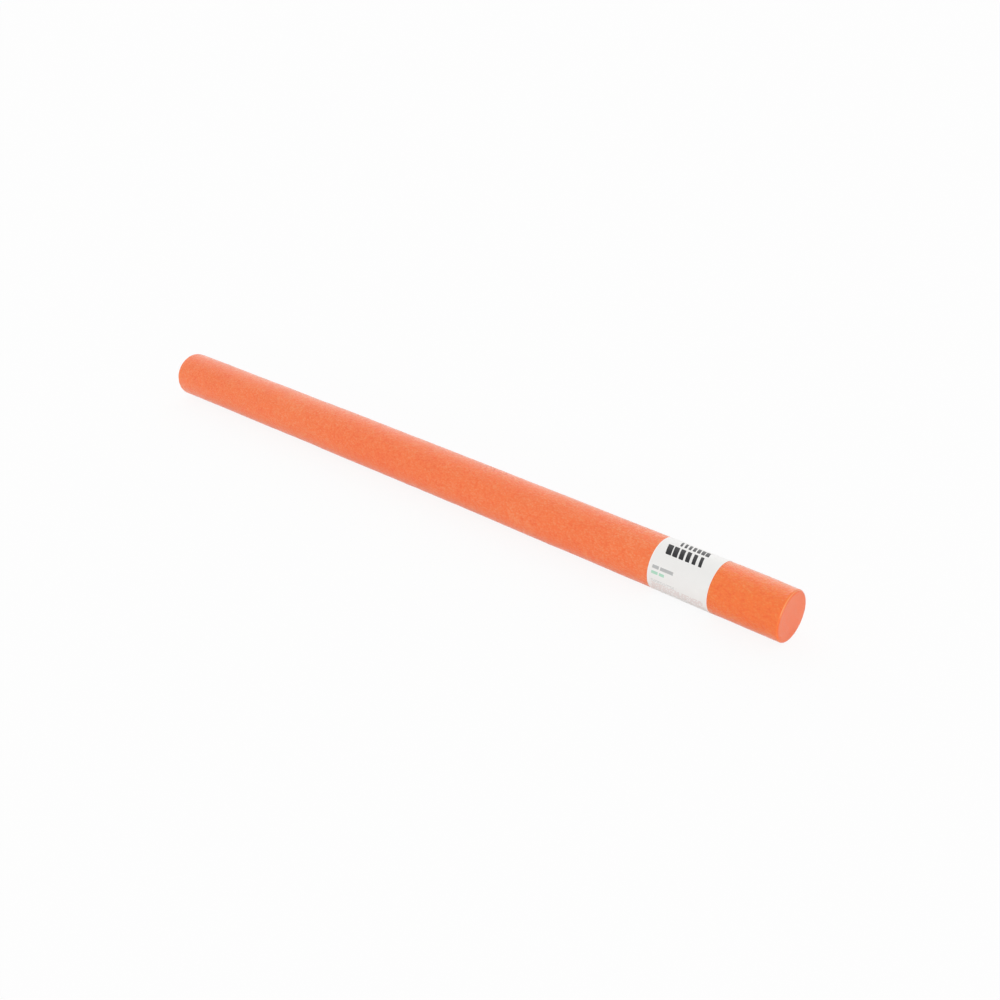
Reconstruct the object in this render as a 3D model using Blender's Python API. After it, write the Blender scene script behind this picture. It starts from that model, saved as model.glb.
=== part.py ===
"""Pool noodle: a solid round foam rod, and the printed film band wrapped round it near one end.

Metres, +Z up. The rod lies along X on its own flattened underside, at z = 0. The middle of its
length is at x = 0, and the band is towards +X. Angles round the rod are counted from straight
down, through the back (+Y), over the top and round the front.
"""

import bmesh
import bpy
import numpy as np

for obj in list(bpy.data.objects):
    bpy.data.objects.remove(obj)

# Foam rod. Its bow is how far the middle of its length stands off the line through its ends.
rod_length = 1.0
rod_diameter = 0.061
rod_bow = 0.0028
rod_rest_depth = 0.0004
rod_edge_radius = 0.0024

# Film band, one strip wound once round the rod, with its end glued over its start
band_width = 0.078
band_from_end = 0.087
band_film = 0.0002
band_proud = 0.00015
band_lap_length = 0.012
band_lap_ramp = 0.0015
band_lap_angle = np.radians(55)

# The seat that the tight band presses into the foam clears the film by these
seat_gap = 0.0003
seat_side_gap = 0.0003

# Counts
rod_sides = 72
rod_spans = 12
band_spans = 2
edge_steps = 4

rod_radius = rod_diameter / 2
axis_height = rod_radius - rod_rest_depth
half_length = rod_length / 2
half_turn = np.pi
full_turn = 2 * np.pi


def bow_at(x):
    """Where the rod's axis lies across the floor: a parabola along the length, centred on y = 0."""
    return rod_bow * (1 - (x / half_length) ** 2) - rod_bow / 2


def flat_angle(radius, floor):
    """Angle from straight down to the corner where a circle round the axis meets a flat floor."""
    reach = np.clip((axis_height - floor) / radius, -1, 1)
    return max(np.arccos(reach), half_turn / rod_sides)


def ring(x, radius, angles):
    """Points round the axis at one place along the rod."""
    across = bow_at(x) + radius * np.sin(angles)
    up = axis_height - radius * np.cos(angles)
    return np.column_stack([np.full(len(angles), x), across, up])


def flattened_ring(x, radius, floor=0):
    """A circle round the axis, cut off flat where it would go below a floor height."""
    corner = flat_angle(radius, floor)
    return ring(x, radius, np.linspace(corner, full_turn - corner, rod_sides))


def side_angles(start, end):
    """Angles from start to end, about as far apart as the rod's sides are."""
    sides = int(np.ceil((end - start) / full_turn * rod_sides))
    return np.linspace(start, end, sides + 1)


def finish(name, colour, roughness):
    """A plain material that isn't a metal."""
    material = bpy.data.materials.new(name)
    material.use_nodes = True
    shader = material.node_tree.nodes["Principled BSDF"]
    shader.inputs["Base Color"].default_value = (*colour, 1)
    shader.inputs["Roughness"].default_value = roughness
    shader.inputs["Metallic"].default_value = 0
    return material


def lofted(name, rings, material, joins_up=False):
    """One closed solid through rings of as many points: its ends are capped, or join up with each other."""
    bm = bmesh.new()
    rings = [[bm.verts.new(point) for point in points] for points in rings]
    if joins_up:
        rings.append(rings[0])
    else:
        bm.faces.new(rings[0][::-1])
        bm.faces.new(rings[-1])
    for one, other in zip(rings, rings[1:]):
        for corner in range(len(one)):
            bm.faces.new([one[corner - 1], one[corner], other[corner], other[corner - 1]])
    mesh = bpy.data.meshes.new(name)
    bm.to_mesh(mesh)
    bm.free()
    mesh.shade_smooth()
    mesh.set_sharp_from_angle(angle=np.radians(30))
    mesh.materials.append(material)
    bpy.context.collection.objects.link(bpy.data.objects.new(name, mesh))


def foam_noodle():
    """The rod, from the far cut end past the band's seat to the near one, with its cut edges eased."""
    sweep = np.linspace(0, half_turn / 2, edge_steps + 1)
    edge_insets = rod_edge_radius * (1 - np.cos(sweep))
    edge_radii = rod_radius - rod_edge_radius * (1 - np.sin(sweep))
    seat_radius = rod_radius + band_proud - band_film - seat_gap
    seat_near = half_length - band_from_end + seat_side_gap
    seat_far = half_length - band_from_end - band_width - seat_side_gap
    rings = [flattened_ring(inset - half_length, radius) for inset, radius in zip(edge_insets, edge_radii)]
    for x in np.linspace(rod_edge_radius - half_length, seat_far, rod_spans + 1)[1:]:
        rings.append(flattened_ring(x, rod_radius))
    for x in np.linspace(seat_far, seat_near, band_spans + 1):
        rings.append(flattened_ring(x, seat_radius, floor=band_film + seat_gap))
    rings.append(flattened_ring(seat_near, rod_radius))
    for inset, radius in zip(edge_insets[::-1], edge_radii[::-1]):
        rings.append(flattened_ring(half_length - inset, radius))
    foam = finish("orange_foam", colour=(0.88, 0.20, 0.07), roughness=0.85)
    lofted("foam_noodle", rings, foam)


def wrap_label():
    """The band: a thin sleeve, twice as thick where its end laps over its start, low at the back."""
    outside = rod_radius + band_proud
    inside = outside - band_film
    corner = flat_angle(outside, floor=0)
    lap_top = band_lap_angle + band_film / outside
    lap_end = band_lap_angle + band_lap_length / outside
    ramp_end = lap_end + band_lap_ramp / outside
    before = side_angles(corner, band_lap_angle)
    lap = side_angles(lap_top, lap_end)
    after = side_angles(ramp_end, full_turn - corner)
    angles = np.concatenate([before, lap, after])
    layers = np.interp(angles, [band_lap_angle, lap_top, lap_end, ramp_end], [1, 2, 2, 1])
    near = half_length - band_from_end
    stations = np.linspace(near - band_width, near, band_spans + 1)
    rings = [ring(x, inside + band_film * layers, angles) for x in stations]
    rings += [ring(x, inside, angles) for x in stations[::-1]]
    film = finish("white_film", colour=(0.86, 0.85, 0.83), roughness=0.45)
    lofted("wrap_label", rings, film, joins_up=True)


foam_noodle()
wrap_label()
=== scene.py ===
"""A solid foam pool noodle with the printed film band round it, lying on a pale studio floor.

Lengths are in metres unless a name says otherwise. Angles round the rod are counted from straight
down, through the back (+Y), over the top and round the front.
"""

import bpy
import numpy as np
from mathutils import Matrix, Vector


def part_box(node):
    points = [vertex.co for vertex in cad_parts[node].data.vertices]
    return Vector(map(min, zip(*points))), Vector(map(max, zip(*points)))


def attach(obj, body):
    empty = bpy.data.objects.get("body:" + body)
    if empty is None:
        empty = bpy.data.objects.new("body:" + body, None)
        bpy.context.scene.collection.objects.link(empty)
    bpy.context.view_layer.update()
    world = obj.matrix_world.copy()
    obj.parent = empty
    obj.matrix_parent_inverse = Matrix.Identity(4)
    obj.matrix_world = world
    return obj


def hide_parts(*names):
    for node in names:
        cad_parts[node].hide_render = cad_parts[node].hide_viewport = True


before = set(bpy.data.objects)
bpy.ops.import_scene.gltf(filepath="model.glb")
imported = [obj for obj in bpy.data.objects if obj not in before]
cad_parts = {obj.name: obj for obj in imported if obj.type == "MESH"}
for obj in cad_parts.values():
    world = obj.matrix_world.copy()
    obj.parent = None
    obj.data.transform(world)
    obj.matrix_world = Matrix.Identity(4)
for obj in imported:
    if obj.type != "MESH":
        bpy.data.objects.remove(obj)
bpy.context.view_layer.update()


# Foam rod
# One solid round bar of closed-cell polyethylene foam, dyed orange right through. Extruding it left a
# thin pebbled skin over the bubbles, and cutting it to length left open cells inside a melted rim.
# It bows a little, and lies on a narrow strip that its own weight flattens.

rod_half_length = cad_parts["foam_noodle"].dimensions.x / 2
rod_radius = 0.0305
rod_bow = 0.0028
rod_axis_height = 0.0301

# Columns round the rod, and how far apart its rings are: on the body, at the band's edges, on a face
rod_columns = 140
rod_ring_step = 0.0016
fine_ring_step = 0.0004
fine_ring_reach = 5 * fine_ring_step
face_ring_step = 0.0016

# The eased rim of a cut end, and the face inside it, hollow by its dish and ridged by the saw
rim_radius = 0.0024
rim_rings = 7
face_dish = 0.0004
saw_ridge = 0.00003
saw_pitch = 0.0021
saw_heading = np.radians(24)
saw_wobble_size = 8 * saw_pitch
saw_seed = 16

# Relief as (depth, size, seed): long waves that the band follows, dents and pebbling that it presses
# flat, and the unevenness of the cut rim
long_waves = ((0.00010, 0.130, 11),)
skin_dents = ((0.00006, 0.030, 12), (0.00003, 0.0075, 13))
rim_dents = ((0.00010, 0.011, 14), (0.00005, 0.005, 15))

# The near end is worn on top, towards the back: the skin sinks to its rim, and the rim is rounder there
worn_turn = np.radians(155)
worn_depth = 0.0009
worn_from_end = 0.021
worn_reach = 0.013
worn_rim_depth = 0.0016

# Where the saw melted the rim smooth, and pale with a painted highlight: soft patches that cover about
# half of it
melt_highlight_size = 0.06
melt_highlight_seed = 649
melt_highlight_share = 0.5
melt_highlight_contrast = 0.8

# The band squeezes the foam, which swells out again beside it
band_low, band_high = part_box("wrap_label")
squeeze_depth = 0.00012
squeeze_edge = 0.0003
swell_height = 0.00010
swell_reach = 0.0035


def axis_across(x):
    """Where the rod's axis lies across the floor: a parabola along the length, centred on zero."""
    return rod_bow * (0.5 - (x / rod_half_length) ** 2)


def round_rod(x, radius, angle):
    """Points at a radius and an angle round the rod's axis, none lower than the floor it lies on."""
    across = axis_across(x) + radius * np.sin(angle)
    up = rod_axis_height - radius * np.cos(angle)
    return np.stack(np.broadcast_arrays(x, across, np.maximum(up, 0)), axis=-1)


def wander(points, size, seed, count=28):
    """Smooth relief of about unit strength: plane waves, 0.7 to 1.5 sizes long, of any heading."""
    draw = np.random.default_rng(seed)
    heading = draw.normal(size=(count, 3))
    heading /= np.linalg.norm(heading, axis=1, keepdims=True)
    heading *= 2 * np.pi / (size * draw.uniform(0.7, 1.5, (count, 1)))
    phase = draw.uniform(0, 2 * np.pi, count)
    return np.cos(points @ heading.T + phase).sum(axis=-1) * np.sqrt(2 / count)


def relief(points, waves):
    """Waves of several depths, sizes and seeds added up."""
    return sum(depth * wander(points, size, seed) for depth, size, seed in waves)


def rises(x, middle, reach):
    """0 well before the middle and 1 well after it, as a hyperbolic tangent."""
    return 0.5 + 0.5 * np.tanh((x - middle) / reach)


def spaced(start, end, step):
    """Places from start up to but not at end, about one step apart."""
    return np.linspace(start, end, int(np.ceil((end - start) / step)), endpoint=False)


def closed_skin(name, rings):
    """A closed mesh from rings of points: quads between the rings, and a fan over each open end.

    The middles of the two fans are its last two points.
    """
    rows, columns = rings.shape[:2]
    first = np.arange(rows * columns).reshape(rows, columns)
    following = np.roll(first, -1, axis=1)
    quads = np.stack([first[:-1], following[:-1], following[1:], first[1:]], axis=-1).reshape(-1, 4)
    far_middle = rows * columns
    near_middle = far_middle + 1
    far_fan = np.stack([np.full(columns, far_middle), following[0], first[0]], axis=-1)
    near_fan = np.stack([np.full(columns, near_middle), first[-1], following[-1]], axis=-1)
    points = np.concatenate([rings.reshape(-1, 3), rings[[0, -1]].mean(axis=1)])
    mesh = bpy.data.meshes.new(name)
    mesh.from_pydata(points.tolist(), [], quads.tolist() + far_fan.tolist() + near_fan.tolist())
    mesh.shade_smooth()
    mesh.validate()
    piece = bpy.data.objects.new(name, mesh)
    bpy.context.scene.collection.objects.link(piece)
    return piece


def carry(piece, name, kind, values):
    """Stores values of one kind on a mesh's points under a name, for its material to read."""
    field = {"FLOAT": "value", "FLOAT_VECTOR": "vector"}[kind]
    piece.data.attributes.new(name, kind, "POINT").data.foreach_set(field, values.ravel())


# The side view, from the middle of the far cut face round both rims to the middle of the near one:
# places along, distances from the axis, and how far each point faces outwards and faces the cut end
rim_turn = np.linspace(0, np.pi / 2, rim_rings)
face_out = spaced(face_ring_step, rod_radius - rim_radius, face_ring_step)
rim_in = rim_radius * (1 - np.cos(rim_turn))
rim_out = rod_radius - rim_radius * (1 - np.sin(rim_turn))
body_start = rim_radius - rod_half_length
body = np.concatenate([
    spaced(body_start, band_low.x - fine_ring_reach, rod_ring_step)[1:],
    spaced(band_low.x - fine_ring_reach, band_low.x + fine_ring_reach, fine_ring_step),
    spaced(band_low.x + fine_ring_reach, band_high.x - fine_ring_reach, rod_ring_step),
    spaced(band_high.x - fine_ring_reach, band_high.x + fine_ring_reach, fine_ring_step),
    spaced(band_high.x + fine_ring_reach, -body_start, rod_ring_step),
])
flat = np.zeros_like(face_out)
end_x = np.concatenate([flat, rim_in]) - rod_half_length
end_radius = np.concatenate([face_out, rim_out])
end_facing = np.concatenate([flat + 1, np.cos(rim_turn)])
end_outward = np.concatenate([flat, np.sin(rim_turn)])
side_x = np.concatenate([end_x, body, -end_x[::-1]])[:, None]
side_radius = np.concatenate([end_radius, np.full_like(body, rod_radius), end_radius[::-1]])[:, None]
facing = np.concatenate([end_facing, np.zeros_like(body), end_facing[::-1]])[:, None]
outward = np.concatenate([end_outward, np.ones_like(body), end_outward[::-1]])[:, None]

# The relief of the skin, the rims and the faces, measured from the smooth rod and then added to it
angles = np.linspace(0, 2 * np.pi, rod_columns, endpoint=False)
smooth = round_rod(side_x, side_radius, angles)
under_band = rises(side_x, band_low.x, squeeze_edge) * (1 - rises(side_x, band_high.x, squeeze_edge))
beside_band = np.minimum(abs(side_x - band_low.x), abs(side_x - band_high.x)) / swell_reach
swell = swell_height * np.exp(-beside_band ** 2)
worn_top = np.maximum(np.cos(angles - worn_turn), 0) ** 2
skin_relief = relief(smooth, long_waves) - squeeze_depth * under_band
skin_relief += (1 - under_band) * (relief(smooth, skin_dents) + swell)
skin_relief -= worn_depth * worn_top * rises(side_x, rod_half_length - worn_from_end, worn_reach)
rim_relief = relief(smooth, rim_dents) - worn_rim_depth * worn_top * (side_x > 0)
saw_travel = smooth[..., 1] * np.cos(saw_heading) + smooth[..., 2] * np.sin(saw_heading)
saw_wobble = wander(smooth, saw_wobble_size, saw_seed)
face_relief = saw_ridge * np.cos(2 * np.pi * saw_travel / saw_pitch + saw_wobble)
face_relief = face_relief - face_dish * (1 - (side_radius / rod_radius) ** 2)
rise = outward * skin_relief + outward * facing * rim_relief + facing ** 2 * face_relief
rings = round_rod(side_x + rise * facing * np.sign(side_x), side_radius + rise * outward, angles)
rod = closed_skin("foam_rod", rings)

# The mesh carries, from 0 to 1, how far each point faces the cut end and how far the saw melted it, which
# also places a painted highlight
cut = np.broadcast_to(facing, rings.shape[:2])
carry(rod, "cut", "FLOAT", np.append(cut.ravel(), [1, 1]))
melt_and_highlight = np.clip(melt_highlight_share + melt_highlight_contrast * wander(smooth, melt_highlight_size, melt_highlight_seed), 0, 1)
carry(rod, "melt_and_highlight", "FLOAT", np.append(melt_and_highlight.ravel(), [0, 0]))
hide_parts("foam_noodle")
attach(rod, "root")


class Wire:
    """A material's socket. Arithmetic on it adds Math nodes, and node() adds any other kind."""

    def __init__(self, tree, socket=None):
        self.tree = tree
        self.socket = socket

    def node(self, kind, settings=None, sockets=None, output=0):
        """Adds a node of a kind: first its settings, then the values or links of its sockets.

        Sockets go by name, or by number where a node has several of one name, as a Mix node has.
        """
        made = self.tree.nodes.new("ShaderNode" + kind)
        for name, value in (settings or {}).items():
            setattr(made, name, value)
        for name, value in (sockets or {}).items():
            if isinstance(value, Wire):
                self.tree.links.new(value.socket, made.inputs[name])
            else:
                made.inputs[name].default_value = value
        return Wire(self.tree, made.outputs[output] if made.outputs else None)

    def output(self, name):
        """Another output of the node that this one comes from."""
        return Wire(self.tree, self.socket.node.outputs[name])

    def math(self, operation, *values):
        """A Math node on numbers or wires."""
        return self.node("Math", {"operation": operation}, dict(enumerate(values)))

    def __add__(self, other):
        return self.math("ADD", self, other)

    def __sub__(self, other):
        return self.math("SUBTRACT", self, other)

    def __rsub__(self, other):
        return self.math("SUBTRACT", other, self)

    def __mul__(self, other):
        return self.math("MULTIPLY", self, other)

    def __truediv__(self, other):
        return self.math("DIVIDE", self, other)

    def __abs__(self):
        return self.math("ABSOLUTE", self)

    __radd__ = __add__
    __rmul__ = __mul__

    def root(self):
        """The square root of this."""
        return self.math("SQRT", self)

    def whole(self):
        """The whole number at or below this."""
        return self.math("FLOOR", self)

    def at_least(self, other):
        """The larger of this and another."""
        return self.math("MAXIMUM", self, other)

    def at_most(self, other):
        """The smaller of this and another."""
        return self.math("MINIMUM", self, other)

    def rise(self, low, high):
        """0 below low, 1 above high and smooth between."""
        return self.node("MapRange", {"interpolation_type": "SMOOTHSTEP"},
                         {"Value": self, "From Min": low, "From Max": high})

    def between(self, low, high, soft):
        """1 from low to high and 0 outside, with soft ends."""
        return self.rise(low - soft, low + soft) * (1 - self.rise(high - soft, high + soft))

    def paint(self, under, over):
        """One colour where this is 0 and the other where it is 1."""
        return self.node("Mix", {"data_type": "RGBA"}, {0: self, 6: under, 7: over}, output=2)

    def noise(self, place, size, detail=2):
        """Noise from 0 to 1 about a half, in patches of about one size."""
        return self.node("TexNoise", None, {"Vector": place, "Scale": 1 / size, "Detail": detail})

    def bump(self, height, depth, strength=1):
        """A normal that follows a height of 0 to 1 times a depth, on top of this normal if it is one."""
        sockets = {"Height": height, "Distance": depth, "Strength": strength}
        if self.socket:
            sockets["Normal"] = self
        return self.node("Bump", None, sockets)


def new_finish(piece, name):
    """A new material on a piece, as the wire that its nodes start from."""
    material = bpy.data.materials.new(name)
    material.use_nodes = True
    material.node_tree.nodes.clear()
    piece.data.materials.append(material)
    return Wire(material.node_tree)


def show(start, sockets):
    """Ends a finish in a Principled shader with these sockets."""
    start.node("OutputMaterial", None, {"Surface": start.node("BsdfPrincipled", None, sockets)})


# The skin's colours, and the tones over which each gives way to the next
foam_deep = (0.955, 0.150, 0.038, 1)
foam_orange = (0.990, 0.197, 0.052, 1)
foam_pale = (0.995, 0.290, 0.110, 1)
deep_to_orange = (-0.05, 0.42)
orange_to_pale = (0.35, 0.95)

# The skin's tint beyond the band, painted for the less hazy light there; a cut face's pits, painted
# darker as shade, and walls; its rim, melted and partly a painted highlight
skin_untinted = (1, 1, 1, 1)
less_haze_painted_tint = (1, 1, 0.62, 1)
# The pit colour is painted shade in the open cells' hollows
shaded_pit_colour = (0.990, 0.146, 0.016, 1)
foam_wall = (0.995, 0.174, 0.042, 1)
# The melted rim's pale colour is partly a painted highlight
melted_rim_and_highlight = (0.990, 0.440, 0.190, 1)
rim_and_highlight_cover = 0.9

# The skin's pebbles and flecks are drawn out along the rod, and its mottling, clouds and grain aren't
pebble_size = 0.0017
pebble_stretch = 1.6
pebble_smoothness = 0.35
pebble_randomness = 0.9
pebble_bump = 0.00030
dome_reach = 0.8
fleck_size = 0.0028
mottle_size = 0.012
cloud_size = 8 * mottle_size
grain_size = 0.0007
grain_bump = 0.00004

# How far each of them moves the skin's tone
pebble_tone = 0.3
# The dome tone is painted shade, darker in the creases between the pebbles
crease_shade_tone = 0.4
fleck_tone = 0.9
mottle_tone = 0.55
cloud_tone = 0.45

# The open cells of a cut face: how their walls bend, how wide the walls are, and what tone they give, the
# pits being painted darker as shade in their hollows
open_cell_size = 0.0012
open_cell_bend = 0.0011
open_cell_bend_size = 1.3 * open_cell_size
open_cell_bump = 0.00014
wall_reach = 0.34
shaded_pit_tone = 0.35
wall_tone = 0.5
face_mottle_tone = 0.5

# By how far a point faces the cut end: where the face's colour takes over, where the pebbles end,
# where the open cells begin, and where the melted line, partly a painted highlight, runs
face_takes_over = (0.6, 0.95)
pebbles_end = (0.1, 0.9)
cells_begin = (0.5, 1.0)
melted_highlit_line = (0.62, 0.88)
melted_highlit_soft = 0.1

skin_roughness = 0.55
cut_roughness = 0.82
mottle_roughness = 0.16
gloss = 0.2

foam = new_finish(rod, "orange_foam")
place = foam.node("TexCoord", output="Object")
drawn_out = foam.node("VectorMath", {"operation": "MULTIPLY"}, {0: place, 1: (1 / pebble_stretch, 1, 1)})
pebbles = foam.node("TexVoronoi", {"feature": "SMOOTH_F1"}, {
    "Vector": drawn_out,
    "Scale": 1 / pebble_size,
    "Smoothness": pebble_smoothness,
    "Randomness": pebble_randomness,
})
pebble = foam.node("SeparateColor", None, {"Color": pebbles.output("Color")})
dome = 1 - pebbles.rise(0, dome_reach)
fleck = foam.noise(drawn_out, fleck_size)
mottle = foam.noise(place, mottle_size, detail=3)
cloud = foam.noise(place, cloud_size)
# Each pebble is painted darker towards its edge, as shade in the creases between pebbles
tone = 0.5 + pebble_tone * (pebble - 0.5) + crease_shade_tone * (dome - 0.5) + fleck_tone * (fleck - 0.5)
tone = tone + mottle_tone * (mottle - 0.5) + cloud_tone * (cloud - 0.5)
pale_skin = tone.rise(*orange_to_pale).paint(foam_orange, foam_pale)
skin_colour = tone.rise(*deep_to_orange).paint(foam_deep, pale_skin)

# Beyond the band the skin is a little glossier, and it is painted yellower to stand in for the less hazy
# light there
beyond_band = foam.node("SeparateXYZ", None, {"Vector": place}, output="X").rise(band_low.x, band_high.x)
painted_less_haze = beyond_band.paint(skin_untinted, less_haze_painted_tint)
skin_colour = foam.node("Mix", {"data_type": "RGBA", "blend_type": "MULTIPLY"}, {
    0: 1, 6: skin_colour, 7: painted_less_haze}, output=2)

# On a cut face the open cells are pits, painted darker as shade in their hollows, between thin pale
# walls, and noise bends the walls
cut_face = foam.node("Attribute", {"attribute_name": "cut"}, output="Fac")
bend = foam.noise(place, open_cell_bend_size).output("Color")
bent_place = foam.node("VectorMath", {"operation": "MULTIPLY_ADD"}, {
    0: bend, 1: [open_cell_bend] * 3, 2: place})
open_cells = foam.node("TexVoronoi", {"feature": "DISTANCE_TO_EDGE"}, {
    "Vector": bent_place, "Scale": 1 / open_cell_size})
cell_wall = 1 - open_cells.rise(0, wall_reach)
face_tone = shaded_pit_tone + wall_tone * cell_wall + face_mottle_tone * (mottle - 0.5)
foam_colour = cut_face.rise(*face_takes_over).paint(skin_colour, face_tone.paint(shaded_pit_colour, foam_wall))

# The melted line runs along the rim where it turns to the face, and its pale colour is partly a painted
# highlight
rim_melt_and_highlight = foam.node("Attribute", {"attribute_name": "melt_and_highlight"}, output="Fac")
melted_and_highlit = cut_face.between(*melted_highlit_line, melted_highlit_soft) * rim_melt_and_highlight
foam_colour = (melted_and_highlit * rim_and_highlight_cover).paint(foam_colour, melted_rim_and_highlight)

foam_normal = foam.bump((1 - cut_face.rise(*pebbles_end)) * dome, pebble_bump)
foam_normal = foam_normal.bump(cut_face.rise(*cells_begin) * cell_wall, open_cell_bump)
foam_normal = foam_normal.bump(foam.noise(place, grain_size, detail=3), grain_bump)
foam_roughness = skin_roughness + (cut_roughness - skin_roughness) * cut_face
foam_roughness = foam_roughness + mottle_roughness * (mottle - 0.5)
foam_roughness = foam_roughness - gloss * (beyond_band * (1 - cut_face) + melted_and_highlit)
show(foam, {
    "Base Color": foam_colour,
    "Roughness": foam_roughness,
    "Normal": foam_normal,
    "Subsurface Weight": 0.25,
    "Subsurface Radius": (0.006, 0.0025, 0.0012),
    "Subsurface Scale": 1,
    "Sheen Weight": 0.72,
    "Sheen Roughness": 0.35,
})


# Printed band
# One strip of white plastic film, wound once round the rod near its end and glued where it laps over
# its own start, low at the back. Its edges keep an unprinted margin, and the foam's bubbles show
# through it faintly.

film_thickness = 0.00015
film_gap = 0.00003
film_step = 0.0015
film_base = rod_radius - squeeze_depth + film_gap
film_sharp_angle = np.radians(50)

# The film lifts off the foam at its edges, and stands out in soft wrinkles, given as relief
film_edge_lift = 0.00005
film_edge_reach = 0.0012
film_wrinkles = ((0.00004, 0.012, 21), (0.00005, 0.028, 22))

# The lap, which climbs over the film's start
lap_start = np.radians(55)
lap_length = 0.012
lap_climb = 0.0012
lap_angle = lap_length / rod_radius
lap_climb_angle = lap_climb / rod_radius

film_x = np.linspace(band_high.x, band_low.x, int((band_high.x - band_low.x) / film_step))
film_angle = lap_start + np.arange(0, 2 * np.pi + lap_angle, film_step / rod_radius)[:, None]
over_lap = rises(film_angle, lap_start + 2 * np.pi - lap_climb_angle, lap_climb_angle / 2)
to_edge = np.minimum(film_x - band_low.x, band_high.x - film_x)
to_end = rod_radius * (film_angle[-1] - film_angle)
lift = film_edge_lift * (np.exp(-to_edge / film_edge_reach) + np.exp(-to_end / film_edge_reach))
film_path = round_rod(film_x, rod_radius, film_angle)
film_under = film_base + film_thickness * over_lap + lift
film_under += relief(film_path, long_waves) + np.maximum(relief(film_path, film_wrinkles), 0)
outside = round_rod(film_x, film_under + film_thickness, film_angle)
inside = round_rod(film_x, film_under, film_angle)
inside[..., 2] = np.maximum(inside[..., 2], film_thickness)
film_rings = np.concatenate([outside, inside[:, ::-1]], axis=1)
band = closed_skin("printed_band", film_rings)
band.data.set_sharp_from_angle(angle=film_sharp_angle)

# The mesh carries each point's place on the print, in mm from the far edge and in mm forward of the
# top, and, from 0 to 1, whether the film lies double there
along_mm = 1000 * (film_x - band_low.x) + 0 * film_angle
around_mm = 1000 * rod_radius * (film_angle - np.pi) + 0 * film_x
sheet = np.stack([along_mm, around_mm, 0 * along_mm], axis=-1)
sheet = np.concatenate([sheet, sheet[:, ::-1]], axis=1)
sheet_middles = sheet[[0, -1]].mean(axis=1)
carry(band, "sheet", "FLOAT_VECTOR", np.concatenate([sheet.reshape(-1, 3), sheet_middles]))
double = np.broadcast_to(over_lap, film_rings.shape[:2])
carry(band, "double", "FLOAT", np.append(double.ravel(), [0, 1]))
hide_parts("wrap_label")
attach(band, "root")

film_white = (0.893, 0.882, 0.863, 1)
film_bright = (0.914, 0.907, 0.892, 1)
film_margin = (0.935, 0.932, 0.925, 1)
fibre_size = 0.006
band_width_mm = 1000 * (band_high.x - band_low.x)
margin_mm = 1.3
margin_blur_mm = 0.2
lap_cover = 0.8

# The print: pale inks that let a little film through, black bars, and dashes in the middle of each row
ink_black = (0.018, 0.018, 0.020, 1)
ink_grey = (0.46, 0.47, 0.47, 1)
ink_green = (0.40, 0.72, 0.54, 1)
ink_pale_grey = (0.62, 0.62, 0.61, 1)
# The pale red ink is print that also paints the shade on the band's lower side
pale_red_ink_and_shade = (0.75, 0.61, 0.58, 1)
ink_cover = 0.9
ink_blur_mm = 0.12
bar_slant = 0.28
bar_corner_mm = 0.9
dash_edges = (0.25, 0.75)
crisp = 0.01

# The foam's bubbles show through as faint domes, and the film ripples
bubble_bump = 0.00003
bubble_strength = 0.7
ripple_size = 0.009
ripple_bump = 0.00016
ripple_strength = 0.5
film_roughness = 0.40
fibre_roughness = 0.14
ink_gloss = 0.08

film = new_finish(band, "printed_film")
place = film.node("TexCoord", output="Object")
sheet_place = film.node("Attribute", {"attribute_name": "sheet"}, output="Vector")
along = film.node("SeparateXYZ", None, {"Vector": sheet_place}, output="X")
around = along.output("Y")


def bars(count, start, end, top, bottom, first_share, last_share):
    """A row of slanted bars with rounded corners, in mm on the sheet: 1 on a bar and 0 off it.

    The sheet is sheared by the slant and cut into as many equal cells as there are bars. In its cell a
    bar takes a share of the width that changes evenly from the first to the last. A bar is all that
    lies within the corner's radius of a box that is smaller by that radius on every side.
    """
    pitch = (end - start) / count
    leaning = (along - around * bar_slant - start) / pitch
    number = leaning.whole().at_least(0).at_most(count - 1)
    share = first_share + (last_share - first_share) / (count - 1) * number
    sideways = abs(pitch * (leaning - number - 0.5)) - (share * (pitch / 2) - bar_corner_mm)
    upward = abs(around - (top + bottom) / 2) - ((bottom - top) / 2 - bar_corner_mm)
    sideways = sideways.at_least(0)
    upward = upward.at_least(0)
    away = (sideways * sideways + upward * upward).root()
    return 1 - away.rise(bar_corner_mm - ink_blur_mm, bar_corner_mm + ink_blur_mm)


def dashes(start, end, top, rows, row_pitch, stretch, gap_share):
    """Rows of dashes of uneven length, in mm on the sheet: 1 on a dash and 0 off it.

    Each row is cut into short stretches. A toss for each leaves it bare as often as the gaps' share
    says, and inked stretches that meet make a longer dash.
    """
    down = (around - top) / row_pitch
    row = down.whole()
    cell = film.node("CombineXYZ", None, {"X": row, "Y": (along / stretch).whole()})
    toss = film.node("TexWhiteNoise", None, {"Vector": cell}).rise(gap_share, gap_share + crisp)
    line = (down - row).between(*dash_edges, ink_blur_mm / row_pitch)
    return toss * line * down.between(0, rows, crisp) * along.between(start, end, ink_blur_mm)


upper_bars = bars(count=7, start=20, end=59, top=-10.5, bottom=0.7, first_share=0.50, last_share=0.86)
lower_bars = bars(count=6, start=8, end=57, top=4, bottom=18, first_share=0.88, last_share=0.50)
grey_row = dashes(start=5, end=33, top=32.2, rows=1, row_pitch=7.6, stretch=1.7, gap_share=0.16)
green_row = dashes(start=5, end=22, top=39.1, rows=1, row_pitch=6.8, stretch=1.7, gap_share=0.16)
pale_grey_rows = dashes(start=5, end=39, top=50.8, rows=2, row_pitch=1.75, stretch=1.1, gap_share=0.25)
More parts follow.
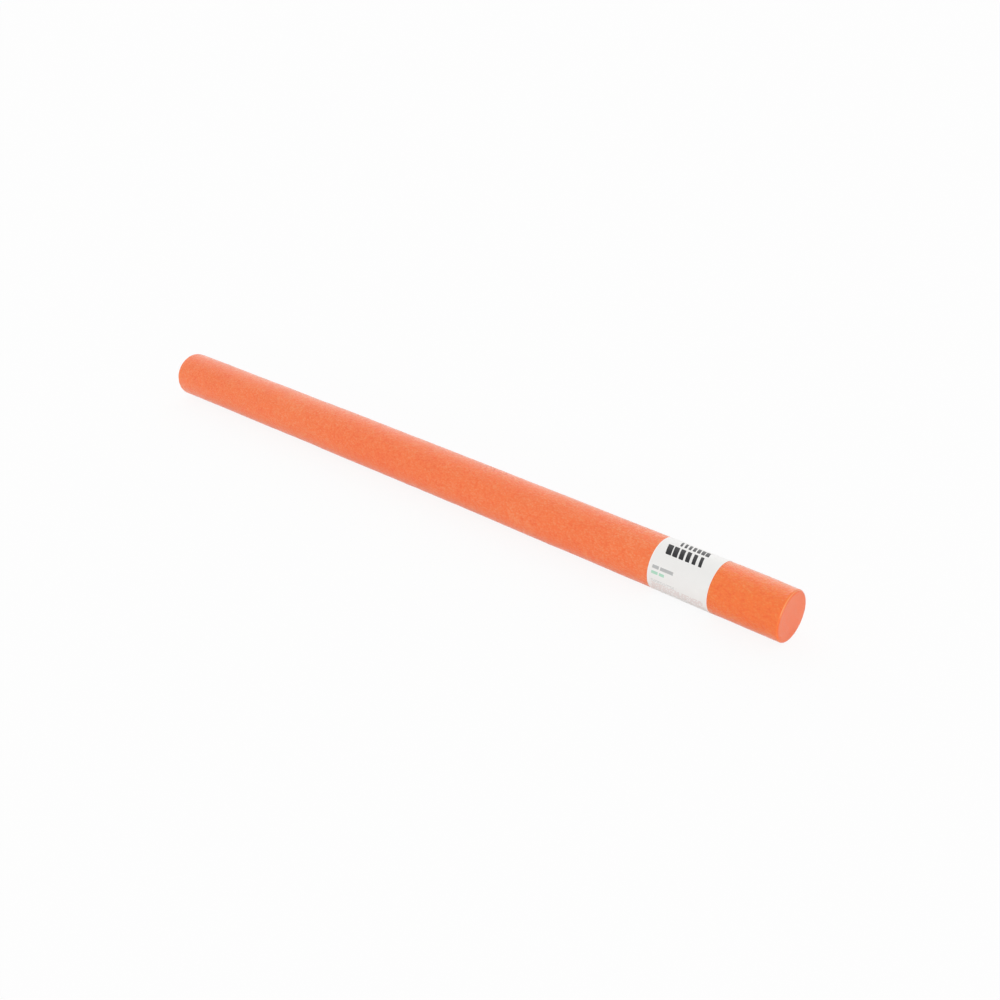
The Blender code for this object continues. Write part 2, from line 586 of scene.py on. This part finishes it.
# The pale red rows are print, and they also paint the shade that falls on the band's lower side
pale_red_rows_and_shade = dashes(start=5, end=73, top=54.6, rows=8, row_pitch=1.75, stretch=1.3, gap_share=0.22)
bold = upper_bars.at_least(lower_bars)
margin = 1 - along.between(margin_mm, band_width_mm - margin_mm, margin_blur_mm)
lapped = film.node("Attribute", {"attribute_name": "double"}, output="Fac")
fibres = film.noise(place, fibre_size, detail=4)
film_colour = fibres.paint(film_white, film_bright)
film_colour = (lapped * lap_cover).paint(film_colour, film_margin)
film_colour = margin.paint(film_colour, film_margin)
film_colour = (pale_grey_rows * ink_cover).paint(film_colour, ink_pale_grey)
film_colour = (pale_red_rows_and_shade * ink_cover).paint(film_colour, pale_red_ink_and_shade)
film_colour = (grey_row * ink_cover).paint(film_colour, ink_grey)
film_colour = (green_row * ink_cover).paint(film_colour, ink_green)
film_colour = bold.paint(film_colour, ink_black)
bubbles = film.node("TexVoronoi", None, {
    "Vector": place, "Scale": 1 / pebble_size, "Randomness": pebble_randomness})
film_normal = film.bump(1 - bubbles.rise(0, dome_reach), bubble_bump, bubble_strength)
film_normal = film_normal.bump(film.noise(place, ripple_size), ripple_bump, ripple_strength)
show(film, {
    "Base Color": film_colour,
    "Roughness": film_roughness + fibre_roughness * (fibres - 0.5) - ink_gloss * bold,
    "Normal": film_normal,
    "Specular IOR Level": 0.35,
})


# Studio
# A wide white floor under plain soft light, seen from above the near end, to the front. To the camera
# the floor mostly glows white, so only a faint shadow shows on it.

floor_half_size = 12
floor_below = 0.00005
floor_white = (0.94, 0.94, 0.94, 1)
floor_glow_share = 0.90
sky_strength = 0.70
camera_lens_mm = 47
camera_nearest = 0.01
camera_turn = np.radians(40.406)
camera_tilt = np.radians(28.629)
camera_distance = 1.5970
camera_aim = np.array([0.10023, -0.00582, rod_axis_height])

corners = np.array([[-1, -1], [1, -1], [1, 1], [-1, 1]]) * floor_half_size
floor_mesh = bpy.data.meshes.new("studio_floor")
floor_mesh.from_pydata([(x, y, -floor_below) for x, y in corners], [], [(0, 1, 2, 3)])
floor = bpy.data.objects.new("studio_floor", floor_mesh)
bpy.context.scene.collection.objects.link(floor)
paper = new_finish(floor, "white_paper")
glowing = paper.node("LightPath", output="Is Camera Ray") * floor_glow_share
lit = paper.node("BsdfDiffuse", None, {"Color": floor_white})
glow = paper.node("Emission", None, {"Color": (1, 1, 1, 1), "Strength": 1})
paper_shader = paper.node("MixShader", None, {0: glowing, 1: lit, 2: glow})
paper.node("OutputMaterial", None, {"Surface": paper_shader})

# The sky is white where it is seen, directly, in a gloss or through a piece, and dimmer as a light
world = bpy.data.worlds.new("studio")
bpy.context.scene.world = world
world.use_nodes = True
world.node_tree.nodes.clear()
sky = Wire(world.node_tree)
directly = sky.node("LightPath", output="Is Camera Ray")
in_gloss = directly.output("Is Glossy Ray")
through = directly.output("Is Transmission Ray")
seen = directly.at_least(in_gloss).at_least(through)
sky_light = sky.node("Background", None, {
    "Color": (1, 1, 1, 1), "Strength": sky_strength + (1 - sky_strength) * seen})
sky.node("OutputWorld", None, {"Surface": sky_light})


def soft_sun(name, strength, spread, tilt, turn):
    """A distant lamp that looks as wide as its spread, tilted from overhead about X, then turned about Z.

    The three angles are in degrees.
    """
    lamp = bpy.data.objects.new(name, bpy.data.lights.new(name, "SUN"))
    lamp.data.energy = strength
    lamp.data.angle = np.radians(spread)
    lamp.rotation_euler = (np.radians(tilt), 0, np.radians(turn))
    bpy.context.scene.collection.objects.link(lamp)


soft_sun("back_light", strength=1.2, spread=90, tilt=-72, turn=40)
soft_sun("front_light", strength=1.35, spread=60, tilt=85, turn=46)

camera = bpy.data.objects.new("camera", bpy.data.cameras.new("camera"))
camera.data.lens = camera_lens_mm
camera.data.clip_start = camera_nearest
level = np.cos(camera_tilt)
look = np.array([-np.sin(camera_turn) * level, np.cos(camera_turn) * level, -np.sin(camera_tilt)])
camera.location = camera_aim - camera_distance * look
camera.rotation_euler = (np.pi / 2 - camera_tilt, 0, camera_turn)
bpy.context.scene.collection.objects.link(camera)
bpy.context.scene.camera = camera
bpy.context.scene.view_settings.view_transform = "Standard"
